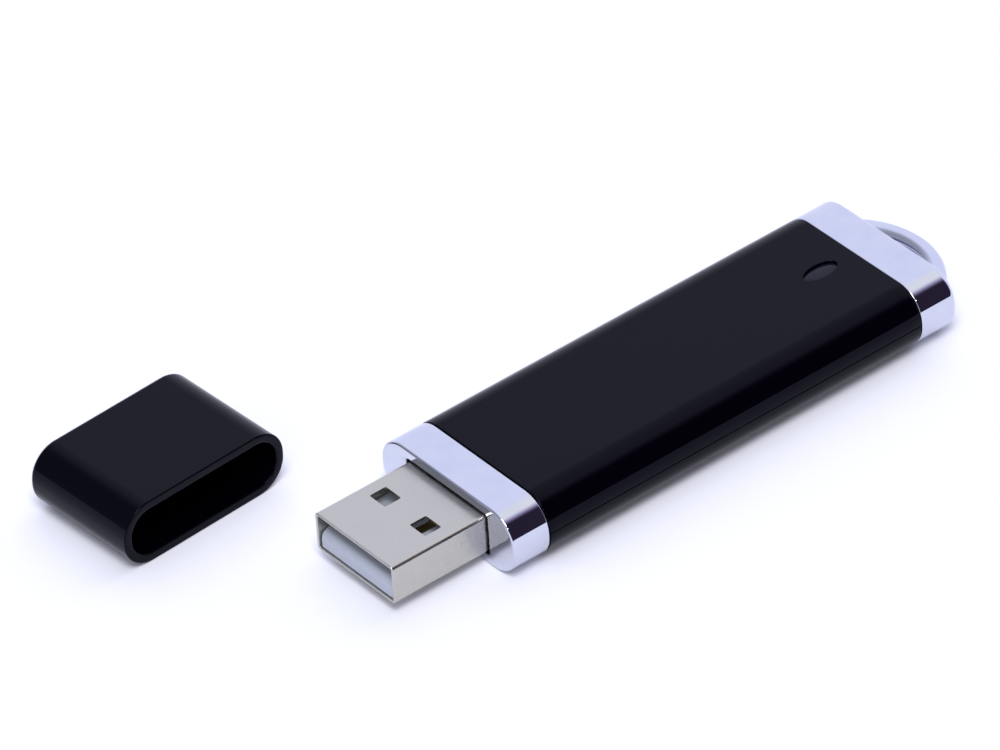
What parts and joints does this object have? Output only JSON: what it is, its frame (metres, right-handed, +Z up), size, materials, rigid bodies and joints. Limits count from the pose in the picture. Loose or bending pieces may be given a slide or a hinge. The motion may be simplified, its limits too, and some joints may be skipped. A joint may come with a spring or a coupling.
{
  "type": "usb flash drive",
  "caption": "Slim capped USB flash drive: gloss black housing with rounded sides, chrome collar and chrome tail with an arched keyring loop, cap lying beside the plug.",
  "frame": {"origin": "centre of the housing's flat underside, between the chrome collar's front face and the chrome tail's end face", "axes": "+X along the drive from the plug towards the keyring loop, +Y towards the side where the loose cap lies, +Z up"},
  "size_m": [0.089, 0.0425, 0.0072],
  "materials": {
    "black_gloss": "gloss black moulded ABS",
    "chrome": "bright chrome plating on a moulded part",
    "nickel": "satin nickel-plated steel sheet",
    "tongue_white": "pale bluish white moulded plastic",
    "contact_gold": "gold-plated contact strip",
    "board_green": "green solder mask over fibreglass",
    "chip_black": "matt black moulded resin",
    "tin": "tinned metal can",
    "capacitor_tan": "tan ceramic with tinned ends",
    "smoky_lens": "smoky translucent polycarbonate",
    "light_yellow": "clear epoxy over a yellow phosphor",
    "spacer_grey": "grey moulded plastic"
  },
  "bodies": {
    "drive": {"top_shell": "black_gloss", "bottom_shell": "black_gloss", "front_collar": "chrome", "tail_cap": "chrome", "indicator_lens": "smoky_lens", "plug_shell": "nickel", "plug_insulator": "tongue_white", "contact_vbus": "contact_gold", "contact_data_minus": "contact_gold", "contact_data_plus": "contact_gold", "contact_ground": "contact_gold", "circuit_board": "board_green", "memory_chip": "chip_black", "controller_chip": "chip_black", "crystal": "tin", "regulator": "chip_black", "status_light": "light_yellow", "ferrite_bead": "chip_black", "capacitor_1": "capacitor_tan", "capacitor_2": "capacitor_tan", "capacitor_3": "capacitor_tan", "capacitor_4": "capacitor_tan", "capacitor_5": "capacitor_tan", "capacitor_6": "capacitor_tan", "resistor_1": "chip_black", "resistor_2": "chip_black", "resistor_3": "chip_black", "resistor_4": "chip_black", "resistor_5": "chip_black"},
    "cap_link": {"board_spacer": "spacer_grey"},
    "cap": {"cap_shell": "black_gloss"}
  },
  "joints": [
    {"name": "cap_slide", "type": "slide", "parent": "drive", "child": "cap_link", "axis": [1, 0, 0], "range_m": [0, 0.01435]},
    {"name": "cap_turn", "type": "hinge", "parent": "cap_link", "child": "cap", "pos_m": [-0.03503, 0.00974, 0], "axis": [0, 0, 1], "range_deg": [0, 87]}
  ]
}
